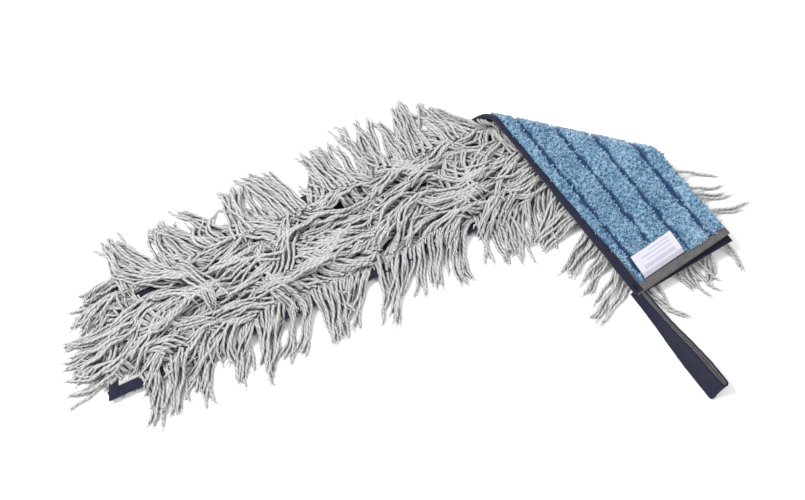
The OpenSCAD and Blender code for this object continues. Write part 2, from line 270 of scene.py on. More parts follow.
pileLook = {
    "band": [(0.34, (0.012, 0.040, 0.090)), (0.5, (0.078, 0.172, 0.280)), (0.66, (0.270, 0.400, 0.510))],
    "groove": (0.009, 0.032, 0.100),
    "grooveWidth": 0.0054,
}


def pileMaterial(name, lift):
    m, tree, shader = material(name, (0.13, 0.28, 0.45), 0.9)
    fleck = objectNoise(tree, 330.0, 4.0)
    patch = objectNoise(tree, 30.0, 2.0)
    tone = maths(tree, "ADD", maths(tree, "MULTIPLY", fleck, 0.75), maths(tree, "MULTIPLY", patch, 0.25))
    tone = maths(tree, "ADD", tone, lift)
    colour = ramp(tree, tone, pileLook["band"])
    groove = addNode(tree, "ShaderNodeAttribute", attribute_name="groove").outputs["Fac"]
    tree.links.new(mixed(tree, groove, colour, pileLook["groove"]), shader.inputs["Base Color"])
    bumped(tree, shader, fleck, 0.6, 0.0015)
    shader.inputs["Sheen Weight"].default_value = 0.35
    shader.inputs["Sheen Roughness"].default_value = 0.5
    return m


def tapeMaterial(name, dark, light):
    m, tree, shader = material(name, light, 0.62)
    uv = addNode(tree, "ShaderNodeUVMap", uv_map="UVMap").outputs["UV"]
    parts = addNode(tree, "ShaderNodeSeparateXYZ", {0: uv})
    warp = maths(tree, "SINE", maths(tree, "MULTIPLY", parts.outputs["Y"], 2 * math.pi / 0.0011))
    weft = maths(tree, "SINE", maths(tree, "MULTIPLY", parts.outputs["X"], 2 * math.pi / 0.0008))
    weave = maths(tree, "ADD", maths(tree, "MULTIPLY", warp, 0.25), maths(tree, "MULTIPLY", weft, 0.25))
    weave = maths(tree, "ADD", weave, 0.5)
    wear = objectNoise(tree, 120.0, 4.0)
    tone = maths(tree, "ADD", maths(tree, "MULTIPLY", weave, 0.5), maths(tree, "MULTIPLY", wear, 0.6))
    tree.links.new(ramp(tree, tone, [(0.2, dark), (0.85, light)]), shader.inputs["Base Color"])
    bumped(tree, shader, weave, 0.7, 0.0003)
    shader.inputs["Sheen Weight"].default_value = 0.12
    return m


def labelMaterial():
    m, tree, shader = material("wovenLabel", (0.86, 0.86, 0.89), 0.45)
    uv = addNode(tree, "ShaderNodeUVMap", uv_map="UVMap").outputs["UV"]
    parts = addNode(tree, "ShaderNodeSeparateXYZ", {0: uv})
    thread = maths(tree, "SINE", maths(tree, "MULTIPLY", parts.outputs["X"], 2 * math.pi / 0.0006))
    stripes = addNode(tree, "ShaderNodeAttribute", attribute_name="bar").outputs["Fac"]
    colour = mixed(tree, stripes, (0.52, 0.51, 0.56), (0.34, 0.34, 0.45))
    tree.links.new(colour, shader.inputs["Base Color"])
    bumped(tree, shader, thread, 0.3, 0.0002)
    return m


def clothMaterial(name, dark, light):
    m, tree, shader = material(name, light, 0.85)
    place = addNode(tree, "ShaderNodeTexCoord").outputs["Object"]
    parts = addNode(tree, "ShaderNodeSeparateXYZ", {0: place})
    a = maths(tree, "SINE", maths(tree, "MULTIPLY", parts.outputs["X"], 2 * math.pi / 0.0012))
    b = maths(tree, "SINE", maths(tree, "MULTIPLY", parts.outputs["Y"], 2 * math.pi / 0.0012))
    weave = maths(tree, "MULTIPLY", a, b)
    tone = maths(tree, "ADD", maths(tree, "MULTIPLY", weave, 0.3), objectNoise(tree, 200.0, 3.0))
    tree.links.new(ramp(tree, tone, [(0.25, dark), (0.8, light)]), shader.inputs["Base Color"])
    bumped(tree, shader, weave, 0.5, 0.0003)
    return m


looks = {
    "yarn": yarnMaterial(),
    "fray": frayMaterial(),
    "pile": pileMaterial("microfibrePile", 0.0),
    "tufts": pileMaterial("microfibreTufts", 0.08),
    "ground": clothMaterial("microfibreGround", (0.03, 0.08, 0.17), (0.10, 0.22, 0.38)),
    "backing": clothMaterial("navyBacking", (0.006, 0.007, 0.014), (0.022, 0.025, 0.045)),
    "grey": tapeMaterial("greyTape", (0.045, 0.042, 0.043), (0.135, 0.127, 0.130)),
    "navy": tapeMaterial("navyTape", (0.003, 0.004, 0.011), (0.014, 0.016, 0.042)),
    "header": clothMaterial("headerTape", (0.42, 0.40, 0.38), (0.70, 0.68, 0.65)),
    "label": labelMaterial(),
    "greyThread": material("greyThread", (0.16, 0.155, 0.16), 0.6)[0],
    "navyThread": material("navyThread", (0.02, 0.024, 0.05), 0.6)[0],
    "whiteThread": material("whiteThread", (0.72, 0.71, 0.70), 0.6)[0],
}
print("materials made:", len(looks))


# mesh helpers

def finished(name, mesh, look):
    obj = bpy.data.objects.new(name, mesh)
    bpy.context.collection.objects.link(obj)
    mesh.materials.clear()
    mesh.materials.append(looks[look])
    mesh.polygons.foreach_set("use_smooth", [True] * len(mesh.polygons))
    return obj


def flatGrid(name, nx, ny, shape, scale=(1.0, 1.0)):
    # a grid whose corner-to-corner place (u, v) is moved to shape(u, v), with its texture in metres
    bm = bmesh.new()
    bm.loops.layers.uv.new("UVMap")
    bmesh.ops.create_grid(bm, x_segments=nx, y_segments=ny, size=0.5, calc_uvs=True)
    mesh = bpy.data.meshes.new(name)
    bm.to_mesh(mesh)
    bm.free()
    co = np.zeros(len(mesh.vertices) * 3)
    mesh.vertices.foreach_get("co", co)
    co = co.reshape(-1, 3) + 0.5
    mesh.vertices.foreach_set("co", shape(co[:, 0], co[:, 1]).astype(np.float32).ravel())
    uv = np.zeros(len(mesh.loops) * 2)
    mesh.uv_layers[0].data.foreach_get("uv", uv)
    mesh.uv_layers[0].data.foreach_set("uv", (uv.reshape(-1, 2) * scale).astype(np.float32).ravel())
    mesh.update()
    return mesh


def tubes(name, lines, radius, sides=1, taper=None, caps=True):
    # a round strand along each line of points
    curve = bpy.data.curves.new(name, "CURVE")
    curve.dimensions = "3D"
    curve.bevel_depth = radius
    curve.bevel_resolution = sides
    curve.use_fill_caps = caps
    for line in lines:
        n = len(line)
        spline = curve.splines.new("POLY")
        spline.points.add(n - 1)
        spline.points.foreach_set("co", np.column_stack([line, np.ones(n)]).astype(np.float32).ravel())
        if taper is not None:
            spline.points.foreach_set("radius", np.interp(np.linspace(0, 1, n), *taper).astype(np.float32))
    obj = bpy.data.objects.new(name, curve)
    bpy.context.collection.objects.link(obj)
    graph = bpy.context.evaluated_depsgraph_get()
    mesh = bpy.data.meshes.new_from_object(obj.evaluated_get(graph), depsgraph=graph)
    bpy.data.objects.remove(obj)
    mesh.name = name
    return mesh


def gridPlaces(mesh, scale):
    # each point's place on its grid, 0 to 1 both ways, read back from the texture places
    loopVertex = np.zeros(len(mesh.loops), int)
    mesh.loops.foreach_get("vertex_index", loopVertex)
    uv = np.zeros(len(mesh.loops) * 2)
    mesh.uv_layers[0].data.foreach_get("uv", uv)
    places = np.zeros((len(mesh.vertices), 2))
    places[loopVertex] = uv.reshape(-1, 2) / scale
    return places[:, 0], places[:, 1]


def thicken(obj, thickness):
    solid = obj.modifiers.new("thickness", "SOLIDIFY")
    solid.thickness = thickness
    solid.offset = 0.0


# bakes the placement into the mesh, which is already shaped round the roll
def overFold(obj):
    # bends with the fold: main below the band, flap above it
    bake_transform(obj)


def merged(name, meshes):
    bm = bmesh.new()
    for mesh in meshes:
        bm.from_mesh(mesh)
        bpy.data.meshes.remove(mesh)
    out = bpy.data.meshes.new(name)
    bm.to_mesh(out)
    bm.free()
    return out


def flatPoints(x, y, z, lift):
    p = np.column_stack([x, y, z])
    return laid(lifted(p) if lift else p)


def strips(base):
    return [base + "_main", base + "_turn", base + "_flap"]


# the two sheets

def sheetAt(z, inset, lift):
    def shape(u, v):
        y = (2 * v - 1) * (halfWidth - inset)
        x = closedX(y, inset) * (1 - u) + (mouthX if lift else backingMouthX)(y, inset) * u
        return flatPoints(x, y, z + 0 * x, lift)
    return shape


length = sleeve["length"]
span = (length, 2 * halfWidth)
groundShape = sheetAt(zGround + sleeve["ground"] / 2, 0.001, True)
groundMesh = flatGrid("microfibreGround", 250, 40, groundShape, span)
ground = finished("microfibreGround", groundMesh, "ground")
thicken(ground, sleeve["ground"])
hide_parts(*strips("microfibre"))
overFold(ground)

backingShape = sheetAt(zBacking + sleeve["backing"] / 2, 0.001, False)
backingMesh = flatGrid("backingCloth", 250, 40, backingShape, span)
backing = finished("backingCloth", backingMesh, "backing")
thicken(backing, sleeve["backing"])
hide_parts(*strips("backing"))
overFold(backing)

grooveCount = sleeve["grooves"]
grooveLines = [2 * halfWidth * ((i + 0.65) / (grooveCount + 0.3) - 0.5) for i in range(grooveCount)]


def grooveDepth(x, y):
    # 1 along the bare lines between the bands of pile
    depth = np.zeros_like(x)
    for i, line in enumerate(grooveLines):
        middle = line + 0.0012 * smoothNoise(x, 40 + i, 0.011) + 0.0006 * smoothNoise(x, 50 + i, 0.003)
        half = pileLook["grooveWidth"] / 2 * (0.85 + 0.55 * smoothNoise(x, 60 + i, 0.008))
        depth = np.maximum(depth, np.clip(1.5 - np.abs(y - middle) / np.maximum(half, 0.0004), 0, 1))
    return depth


def wrapWidth(x):
    # the back edge's outer tape also covers the grey one, wider towards the mouth
    return 0.0034 + 0.0052 * np.clip((x - 0.24) / (mouthX(halfWidth) - 0.24), 0, 1)


def pileEdge(x, y):
    # 0 in the open pile, 1 where the bindings press it down
    bare = 0.0045 * np.clip((x - 0.40) / 0.075, 0, 1)
    inside = np.minimum(halfWidth - y - wrapWidth(x) + 0.001 - bare, halfWidth + y + 0.0020)
    underLabel = (y > -0.011) & (y < 0.045)
    overTape = np.where(underLabel, -0.0030, 0.0025)
    inside = np.minimum(inside, mouthX(y) - x - sleeve["bindingWidth"] + overTape)
    inside = np.minimum(inside, x - closedX(y, sleeve["bindingWidth"]))
    return np.clip(1 - inside / 0.003, 0, 1)


def pilePlace(u, v):
    inset = sleeve["bindingWidth"] - 0.004
    y = (0.0002 - halfWidth) * (1 - v) + (halfWidth - 0.003) * v
    return closedX(y, inset) * (1 - u) + mouthX(y, inset) * u, y


def pileShape(u, v):
    x, y = pilePlace(u, v)
    p = np.column_stack([x, y])
    z = 0.0014 + 0.0006 * cloudNoise(p, 3, 0.0026) + 0.0005 * cloudNoise(p, 4, 0.009)
    z = np.maximum(z + 0.0022 * grooveDepth(x, y), z + (zGround + 0.0004 - z) * pileEdge(x, y))
    return flatPoints(x, y, z, True)


pileMesh = flatGrid("microfibrePile", 560, 80, pileShape, span)
grooves = grooveDepth(*pilePlace(*gridPlaces(pileMesh, span)))
pileMesh.attributes.new("groove", "FLOAT", "POINT").data.foreach_set("value", grooves.astype(np.float32))
pile = finished("microfibrePile", pileMesh, "pile")
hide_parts(*strips("microfibre"))
overFold(pile)
print("sheets and pile", len(pileMesh.vertices))


def tuftLines(spacing, keep):
    # short curls of pile standing on the ground cloth
    x, y = np.meshgrid(np.arange(endFront, mouthX(-halfWidth), spacing),
                       np.arange(-halfWidth - 0.0006, halfWidth, spacing), indexing="ij")
    x = x.ravel() + rng.uniform(-0.5, 0.5, x.size) * spacing
    y = y.ravel() + rng.uniform(-0.5, 0.5, y.size) * spacing
    flat = np.column_stack([x, y, 0 * x])
    ok = keep(foldDistance(flat)) & (pileEdge(x, y) < 0.55)
    ok &= grooveDepth(x, y) < rng.uniform(0.2, 0.75, x.size)
    x, y = x[ok], y[ok]
    turn = rng.uniform(0, 2 * math.pi, x.size)
    curl = rng.uniform(0.7, 1.7, x.size) * rng.choice([-1, 1], x.size)
    reach = rng.uniform(0.0008, 0.0015, x.size)
    top = 0.0006 + rng.uniform(-0.0002, 0.0007, x.size) + 0.0018 * pileEdge(x, y)
    steps = [(0.0, top + 0.0016), (0.9, top + 0.0003), (1.9, top), (2.6, top + 0.0009)]
    lines = np.zeros((x.size, len(steps), 3))
    px, py = x.copy(), y.copy()
    for i, (far, z) in enumerate(steps):
        if i:
            stride = (far - steps[i - 1][0]) * reach
            px = px + np.cos(turn) * stride
            py = py + np.sin(turn) * stride
            turn = turn + curl
        lines[:, i] = flatPoints(px, py, z, True)
    return lines


tuftTaper = ([0, 0.6, 1], [1, 1, 0.6])
flapLines = tuftLines(0.0023, lambda q: q > -rollRadius)
flapTufts = tubes("flapTufts", flapLines, 0.00072, 0, tuftTaper, False)
tufts = finished("flapTufts", flapTufts, "tufts")
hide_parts(*strips("microfibre"))
overFold(tufts)
underLines = tuftLines(0.0031, lambda q: q <= -rollRadius)
underTufts = tubes("underTufts", underLines, 0.0009, 0, tuftTaper, False)
under = finished("underTufts", underTufts, "tufts")
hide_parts("microfibre_main")
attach(under, "main")
print("tufts", len(flapTufts.polygons), len(underTufts.polygons))


# bindings

def aroundEdge(v, wideLow, wideHigh, zLow, zHigh):
    # distance in from the edge, and height, round a folded tape
    rise = (zHigh - zLow) / 2
    bend = rise * 2.6
    s = v * (wideLow + bend + wideHigh)
    angle = np.clip((s - wideLow) / bend, 0, 1) * math.pi
    flat = np.maximum(wideLow - s, 0) + np.maximum(s - wideLow - bend, 0)
    return flat - 0.55 * rise * np.sin(angle), zLow + rise - rise * np.cos(angle)


def sideTape(name, side, zLow, zHigh, wideLow, lift, seed):
    def shape(u, v):
        start = endFront + sleeve["endSkew"] * (side > 0) + 0.001
        x = start + u * (mouthX(side * halfWidth) - start - 0.001)
        uneven = 1 + 0.05 * smoothNoise(x, seed, 0.03) + 0.03 * smoothNoise(x, seed + 1, 0.006)
        wide = sleeve["bindingWidth"] * uneven
        low = wideLow(x) * uneven
        inset, z = aroundEdge(v, low, wide, zLow, zHigh)
        ripple = 0.0004 * smoothNoise(x, seed + 2, 0.012)
        return flatPoints(x, side * (halfWidth - inset + ripple), z, lift)
    return flatGrid(name, 300, 16, shape, (length, 0.024))


def endTape(name, edge, zLow, zHigh, lift, seed):
    def shape(u, v):
        y = (2 * u - 1) * (halfWidth + 0.0004)
        wide = sleeve["bindingWidth"] * (1 + 0.05 * smoothNoise(y, seed, 0.03))
        inset, z = aroundEdge(v, wide, wide, zLow, zHigh)
        x = edge(y, inset)
        return flatPoints(x, y, z, lift)
    return flatGrid(name, 60, 16, shape, (2 * halfWidth, 0.024))


def plainWidth(x):
    return sleeve["bindingWidth"] + 0 * x


half = sleeve["tape"] / 2
greyHeights = (zGround - half, zSeam - half)
navyHeights = (zSeam + half, zHeader + half)
wrappedHeights = (zGround - 3.4 * half, zHeader + half)
tapes = [
    ("greyTapeFront", "grey", -1, greyHeights, plainWidth, "grey_tape_front"),
    ("greyTapeBack", "grey", 1, greyHeights, plainWidth, "grey_tape_back"),
    ("navyTapeFront", "navy", -1, navyHeights, plainWidth, "navy_tape_front"),
    ("navyTapeBack", "navy", 1, wrappedHeights, wrapWidth, "navy_tape_back"),
]
for i, (name, look, side, heights, wideLow, node) in enumerate(tapes):
    lift = look == "grey"
    tape = finished(name, sideTape(name, side, *heights, wideLow, lift, 100 + 10 * i), look)
    thicken(tape, sleeve["tape"])
    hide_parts(*strips(node))
    overFold(tape)

# the end tapes lie over the ends of the side tapes
over = 0.0004
greyOver = (greyHeights[0] - over, greyHeights[1])
greyMouth = (greyHeights[0] - half, greyHeights[1])
navyOver = (navyHeights[0], navyHeights[1] + over)
endTapes = [
    ("greyTapeClosed", "grey", closedX, greyOver, "grey_tape_closed_end", "main"),
    ("navyTapeClosed", "navy", closedX, navyOver, "navy_tape_closed_end", "main"),
    ("greyTapeMouth", "grey", mouthX, greyMouth, "grey_tape_mouth", "flap"),
    ("navyTapeMouth", "navy", backingMouthX, navyOver, "navy_tape_mouth", "flap"),
]
for i, (name, look, edge, heights, node, body) in enumerate(endTapes):
    lift = edge is mouthX
    tape = finished(name, endTape(name, edge, *heights, lift, 160 + 10 * i), look)
    thicken(tape, sleeve["tape"])
    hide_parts(node)
    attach(tape, body)

rowPitch = 0.022
rowLines = [rowPitch * i for i in (-2, -1, 0, 1, 2)]
headerWidth = 0.012


def headerStrip(line):
    def shape(u, v):
        y = line + (v - 0.5) * headerWidth
        x = closedX(y, 0.0096) * (1 - u) + mouthX(y, 0.0096) * u
        y = y + 0.0005 * smoothNoise(x, int(900 + line * 1000), 0.02)
        return flatPoints(x, y, zHeader + sleeve["header"] / 2 + 0 * x, False)
    return shape


headerStrips = [flatGrid("strip", 250, 3, headerStrip(line), (length, headerWidth)) for line in rowLines]
headers = finished("headerTapes", merged("headerTapes", headerStrips), "header")
thicken(headers, sleeve["header"])
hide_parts(*strips("header_tapes"))
overFold(headers)
print("bindings and header tapes")


# stitches

stitch = {"pitch": 0.0032, "dash": 0.0021, "height": 0.0002, "radius": 0.00027}
arch = np.array([0.0, 0.15, 0.5, 0.85, 1.0])       # where along a stitch its points are
crown = np.array([0.0, 1.0, 1.0, 1.0, 0.0])        # and how far they stand off the cloth


def dashes(start, end, place, pitch=stitch["pitch"], dash=stitch["dash"]):
    # one stitch after another, where place(s, h) gives the points for a distance and a height
    return [place(a + arch * dash, crown * stitch["height"]) for a in np.arange(start, end - dash, pitch)]


def alongSide(y, z, lift, face=1):
    # face is 1 on the backing and -1 on the microfibre side
    def place(s, h):
        return flatPoints(s, y + 0.0002 * smoothNoise(s, 5, 0.01), z + face * h, lift)
    return place


def alongMouth(inset, z):
    def place(s, h):
        return flatPoints(mouthX(s, inset), s, z - h, True)
    return place


def stitched(name, lines, look, layer=None):
    obj = finished(name, tubes(name, lines, stitch["radius"], 0), look)
    if layer:
        overFold(obj)
    else:
        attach(obj, "flap")


seamInset = 0.0080
seamStart, seamEnd = closedX(0.0) + 0.03, mouthX(0.0) - 0.012
backSeam = []
for a in np.arange(seamStart, mouthX(halfWidth) - 0.008, stitch["pitch"]):
    s = a + arch * stitch["dash"]
    z = zGround - 2.4 * sleeve["tape"] - np.array([-0.3, 1, 1, 1, -0.3]) * stitch["height"]
    backSeam.append(flatPoints(s, halfWidth - wrapWidth(s) + 0.0013, z, False))
stitched("backSeam", backSeam, "navyThread", "outer")
mouthSeam = dashes(-halfWidth + 0.004, halfWidth - 0.008, alongMouth(0.0078, zGround - 0.0010))
stitched("mouthSeam", mouthSeam, "greyThread")
greyFace = alongSide(seamInset - halfWidth, zGround - sleeve["tape"], True, -1)
greySeam = dashes(seamStart, seamEnd, greyFace)
stitched("greySeam", greySeam, "greyThread", "outer")
navySeams = []
for side in (-1, 1):
    navyFace = alongSide(side * (halfWidth - seamInset), zHeader + sleeve["tape"], False)
    navySeams += dashes(seamStart, seamEnd, navyFace)
stitched("navySeams", navySeams, "navyThread", "inner")
headerSeams = []
for line in rowLines:
    for off in (-0.0042, 0.0042):
        headerFace = alongSide(line + off, zRow, False)
        headerSeams += dashes(closedX(line) + 0.014, seamEnd, headerFace, 0.0045, 0.003)
stitched("headerSeams", headerSeams, "whiteThread", "inner")
print("stitches", len(backSeam) + len(mouthSeam) + len(greySeam) + len(navySeams) + len(headerSeams))


# hanging loop

strap = {
    "length": 0.132,
    "width": 0.024,
    "thick": 0.0009,
    "start": -0.006,                # how far it tucks in under the corner
    "rootWidth": 0.0100,
    "bow": 0.100,                   # where it has its full width
    "lean": math.radians(33),
    "rootLean": math.radians(33),   # more lean at the root
    "settle": 0.060,                # where that has gone
    "open": math.radians(10),       # more lean of the far leg
    "flattest": math.radians(72),
    "rootGap": 0.0021,
    "bulge": 0.0012,
    "tip": 0.0020,
    "shift": 0.0024,
    "join": 0.012,
}
strapFrame = np.array(joints["loop_swing"]["pos_m"], float)
strapHeading = 2 * math.atan2(along[1], along[0])
strapAlong = np.array([math.cos(strapHeading), math.sin(strapHeading), 0])
strapSide = np.array([-strapAlong[1], strapAlong[0], 0])


def strapLine(t):
    # centre line of the tape from one end round the tip to the other, t in 0 to 1
    legs, bend = strap["length"], math.pi * strap["tip"]
    s = t * (2 * legs + bend)
    x = np.where(s < legs, s, np.where(s > legs + bend, 2 * legs + bend - s, legs))
    rootY = strap["rootGap"]
    y = rootY + (strap["bulge"] - rootY) * np.sin(math.pi * np.minimum(1, x / legs))
    y = y + (strap["tip"] - rootY) * x / legs
    y = np.where(s < legs, -y, y)
    angle = -math.pi / 2 + math.pi * (s - legs) / bend
    onTip = (s >= legs) & (s <= legs + bend)
    x = np.where(onTip, legs + strap["tip"] * np.cos(angle), x)
    y = np.where(onTip, strap["tip"] * np.sin(angle), y)
    return x, y


def strapBend(obj):
    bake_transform(obj)


def strapTape(name, offset, look, node):
    def shape(u, v):
        x, y = strapLine(u)
        step = 1e-4
        xa, ya = strapLine(np.clip(u - step, 0, 1))
        xb, yb = strapLine(np.clip(u + step, 0, 1))
        n = np.hypot(xb - xa, yb - ya)
        nx, ny = (yb - ya) / n, -(xb - xa) / n
        grow = np.sin(math.pi / 2 * np.clip((x - 0.006) / strap["bow"], 0, 1)) ** 2
        h = strap["rootWidth"] / 2 + (strap["width"] - strap["rootWidth"]) / 2 * grow
        h = h * (1 + 0.02 * smoothNoise(u, 71, 0.02))
        c = (2 * v - 1) * h
        cup = offset + 0.0005 * (2 * v - 1) ** 2 * np.sign(offset)
        px = x * (1 - strap["start"] / strap["length"]) + cup * nx + strap["start"]
        settled = np.clip(x / strap["settle"], 0, 1)
        lean = strap["lean"] + strap["rootLean"] * 0.5 * (1 + np.cos(math.pi * settled))
        far = 0.5 - 0.5 * np.cos(math.pi * np.clip((u - 0.40) / 0.20, 0, 1))
        flat = np.minimum(lean + strap["open"] * far, strap["flattest"])
        py = y + h * (np.sin(flat) - np.sin(lean)) + cup * ny + c * np.sin(flat)
        py = py + strap["shift"] * (1 - settled)
        pz = h * (np.cos(flat) - np.cos(lean)) + c * np.cos(flat)
        return strapFrame + px[:, None] * strapAlong + py[:, None] * strapSide + pz[:, None] * up
    obj = finished(name, flatGrid(name, 160, 10, shape, (0.27, strap["width"])), look)
    thicken(obj, strap["thick"] * 0.95)
    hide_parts(node)
    strapBend(obj)
    return shape


navyStrap = strapTape("loopNavyTape", strap["thick"] / 2, "navy", "loop_navy_tape")
greyStrap = strapTape("loopGreyTape", -strap["thick"] / 2, "grey", "loop_grey_tape")

strapSeams = []
for v in (0.08, 0.92):
    for a in np.arange(0.03, 0.965, 0.0115):
        t = a + np.linspace(0, 0.0078, 4)
        p = navyStrap(t, v + 0 * t)
        q = greyStrap(t, v + 0 * t)
        strapSeams.append(p + (p - q) * np.array([0.3, 0.62, 0.62, 0.3])[:, None])
strapThread = tubes("strapStitches", strapSeams, stitch["radius"], 0)
strapStitches = finished("strapStitches", strapThread, "navyThread")
strapBend(strapStitches)

tackFlat = []
for i in range(26):
    s = i / 25
    y = halfWidth - 0.001 - 0.003 * (i % 2)
    x = mouthX(halfWidth) - 0.012 + 0.008 * s
    tackFlat.append((x, y, zGround - 0.0016 - 0.0003 * math.sin(i * 2.1)))
tack = finished("barTack", tubes("barTack", [laid(tackFlat)], 0.0004, 1), "navyThread")
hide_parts("loop_bar_tack")
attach(tack, "flap")
print("hanging loop")


# care label

labelPlan = {
    "width": 0.052,
    "length": 0.028,
    "thick": 0.0004,
    "start": 0.0010,        # gap to the hinge, so that it clears the tape when it flips
    "rise": 0.007,          # stretch that climbs on to the pile
    "drop": 0.0049,
    # each bar's two edges along the label, and where it ends across it
    "bars": [(0.24, 0.40, 0.88), (0.52, 0.58, 0.74), (0.68, 0.74, 0.82), (0.83, 0.88, 0.60)],
    "barLeft": 0.12,
}
labelPos = np.array(joints["label_flip"]["pos_m"], float)
labelY = -np.array(joints["label_flip"]["axis"], float)
inFlap = np.array(laid([[0.45, 0.0, 0.004], [0.40, 0.0, 0.004]]))
labelIn = (inFlap[1] - inFlap[0]) / np.linalg.norm(inFlap[1] - inFlap[0])
labelIn = labelIn - (labelIn @ labelY) * labelY
labelIn = labelIn / np.linalg.norm(labelIn)
labelOut = np.cross(labelY, labelIn)
labelOut = labelOut if labelOut[2] > 0 else -labelOut


def labelShape(u, v):
    s = labelPlan["start"] + v * (labelPlan["length"] - labelPlan["start"])
    ease = 0.5 - 0.5 * np.cos(math.pi * np.clip(s / labelPlan["rise"], 0, 1))
    out = labelPlan["thick"] + (labelPlan["drop"] - labelPlan["thick"]) * ease
    out = out + 0.0004 * np.sin(u * 7.0 + 1.0) * v + 0.0010 * v * v * (u - 0.5) ** 2 * 4
    w = (u - 0.5) * labelPlan["width"]
    return labelPos + w[:, None] * labelY + s[:, None] * labelIn + out[:, None] * labelOut


labelSpan = (labelPlan["width"], labelPlan["length"])
labelMesh = flatGrid("careLabel", 96, 48, labelShape, labelSpan)
labelU, labelV = gridPlaces(labelMesh, labelSpan)
bars = np.zeros(len(labelU))
for low, high, right in labelPlan["bars"]:
    inside = (labelV > low) & (labelV < high) & (labelU > labelPlan["barLeft"]) & (labelU < right)
    bars[inside] = 0.75
labelMesh.attributes.new("bar", "FLOAT", "POINT").data.foreach_set("value", bars.astype(np.float32))
label = finished("careLabel", labelMesh, "label")
thicken(label, labelPlan["thick"])
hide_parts("care_label")
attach(label, "label")
print("care label")


# yarn

yarn = {
    "radius": 0.0018,
    "points": 13,
    "pitch": 0.0034,        # between roots, on each side of a row
    "length": 0.066,
    "fringeLength": 0.068,
    "top": 0.0320,          # how high the heap may grow
    "wiggle": 0.17,
    "cell": 0.0015,         # of the map that says how high the heap is so far
}
mapLow = np.array([-0.43, -0.36])
mapSize = (600, 380)
cellX, cellY = np.meshgrid(mapLow[0] + yarn["cell"] * (np.arange(mapSize[0]) + 0.5),
                           mapLow[1] + yarn["cell"] * (np.arange(mapSize[1]) + 0.5), indexing="ij")
cells = np.column_stack([cellX.ravel(), cellY.ravel(), 0 * cellX.ravel()])
across = (cells - rollCentre) @ outward
rollInner = rollRadius - zRow


def inSleeve(x, y, margin=0.0):
    return (np.abs(y) < halfWidth + margin) & (x > closedX(y) - margin) & (x < mouthX(y) + margin)


# what the yarn lies on: the floor, the main part, and the inside of the roll
onMain = inSleeve(cells[:, 0], cells[:, 1]) & (across < rollInner)
curve = rollRadius - np.sqrt(np.maximum(rollInner ** 2 - np.clip(across, 0, rollInner) ** 2, 0))
heap = np.where(onMain, curve, 0.0).reshape(mapSize)

# what it lies under: the folded flap
past = -across / abs(math.cos(wrap))
beside = ((cells - rollCentre) @ along)[:, None] * along
flatCells = rollCentre + beside + (2 * rollRadius + past)[:, None] * outward
underFlap = inSleeve(flatCells[:, 0], flatCells[:, 1], 0.001) & (past > 0)
underside = rollRadius + rollInner * abs(math.cos(wrap)) - past * math.sin(sleeve["slope"])
ceiling = np.where(underFlap, underside, 1.0).reshape(mapSize)


def sample(grid, xy):
    i = ((xy - mapLow) / yarn["cell"]).astype(int)
    return grid[np.clip(i[..., 0], 0, mapSize[0] - 1), np.clip(i[..., 1], 0, mapSize[1] - 1)]


def layDown(xy, radius, rootZ=None, gap=0.0035):
    # rests one strand on the heap, below the flap, and adds it to the heap
    low = sample(heap, xy)
    roof = sample(ceiling, xy) - gap
    z = low + 0.45 * radius
    for _ in range(2):
        z[1:-1] = np.maximum(z[1:-1], 0.5 * (z[:-2] + z[2:]) - 0.0004)
    if rootZ is not None:
        z[0] = rootZ
        step = np.hypot(*(xy[1] - xy[0])) * 0.42
        for k in range(1, len(z)):
            z[k] = max(z[k], z[k - 1] - step)
    soft = yarn["top"] - 0.006
    z = np.where(z > soft, soft + (z - soft) * 0.35, z)
    z = np.maximum(np.minimum(z, roof), radius)
    t = np.linspace(0, len(z) - 1, 4 * len(z))
    dense = np.column_stack([np.interp(t, np.arange(len(z)), xy[:, k]) for k in (0, 1)])
    denseZ = np.interp(t, np.arange(len(z)), z)
    run = np.gradient(dense, axis=0)
    run = run / np.maximum(np.linalg.norm(run, axis=1), 1e-9)[:, None]
    for off, drop in ((0.0, 0.5), (0.0014, 0.2), (-0.0014, 0.2)):
        spot = dense + off * np.column_stack([-run[:, 1], run[:, 0]])
        i = ((spot - mapLow) / yarn["cell"]).astype(int)
        i = np.clip(i, 0, np.array(mapSize) - 1)
        np.maximum.at(heap, (i[:, 0], i[:, 1]), denseZ + drop * radius)
    return np.column_stack([xy, z])


def strandPath(root, heading, curl, reach, phase):
    s = np.linspace(0, 1, yarn["points"])
    waves = reach / 0.030
    turn = heading + curl * s ** 1.3
    turn = turn + yarn["wiggle"] * np.sin(2 * math.pi * (s * waves + phase)) + 0.07 * rng.normal() * s
    step = reach / (yarn["points"] - 1)
    xy = np.cumsum(np.column_stack([np.cos(turn), np.sin(turn)]) * step, axis=0)
    return np.vstack([[0, 0], xy[:-1]]) + root


def lock(node, x0, count, pitch, place, heading, curl, reach, spread=0.35):
    # neighbouring strands that lie together and meet towards their tips
    strands = []
    phase = rng.uniform()
    for k in range(count):
        off = (k + 0.5) / count - 0.5
        root = place(x0 + pitch * k + rng.uniform(-0.4, 0.4) * pitch)
        side = heading + spread * off + rng.normal() * 0.085
        bend = curl + rng.normal() * 0.07
        size = reach * rng.uniform(0.84, 1.06)
        strands.append((node, root, side, bend, size, phase + rng.uniform(-0.12, 0.12)))
    return strands


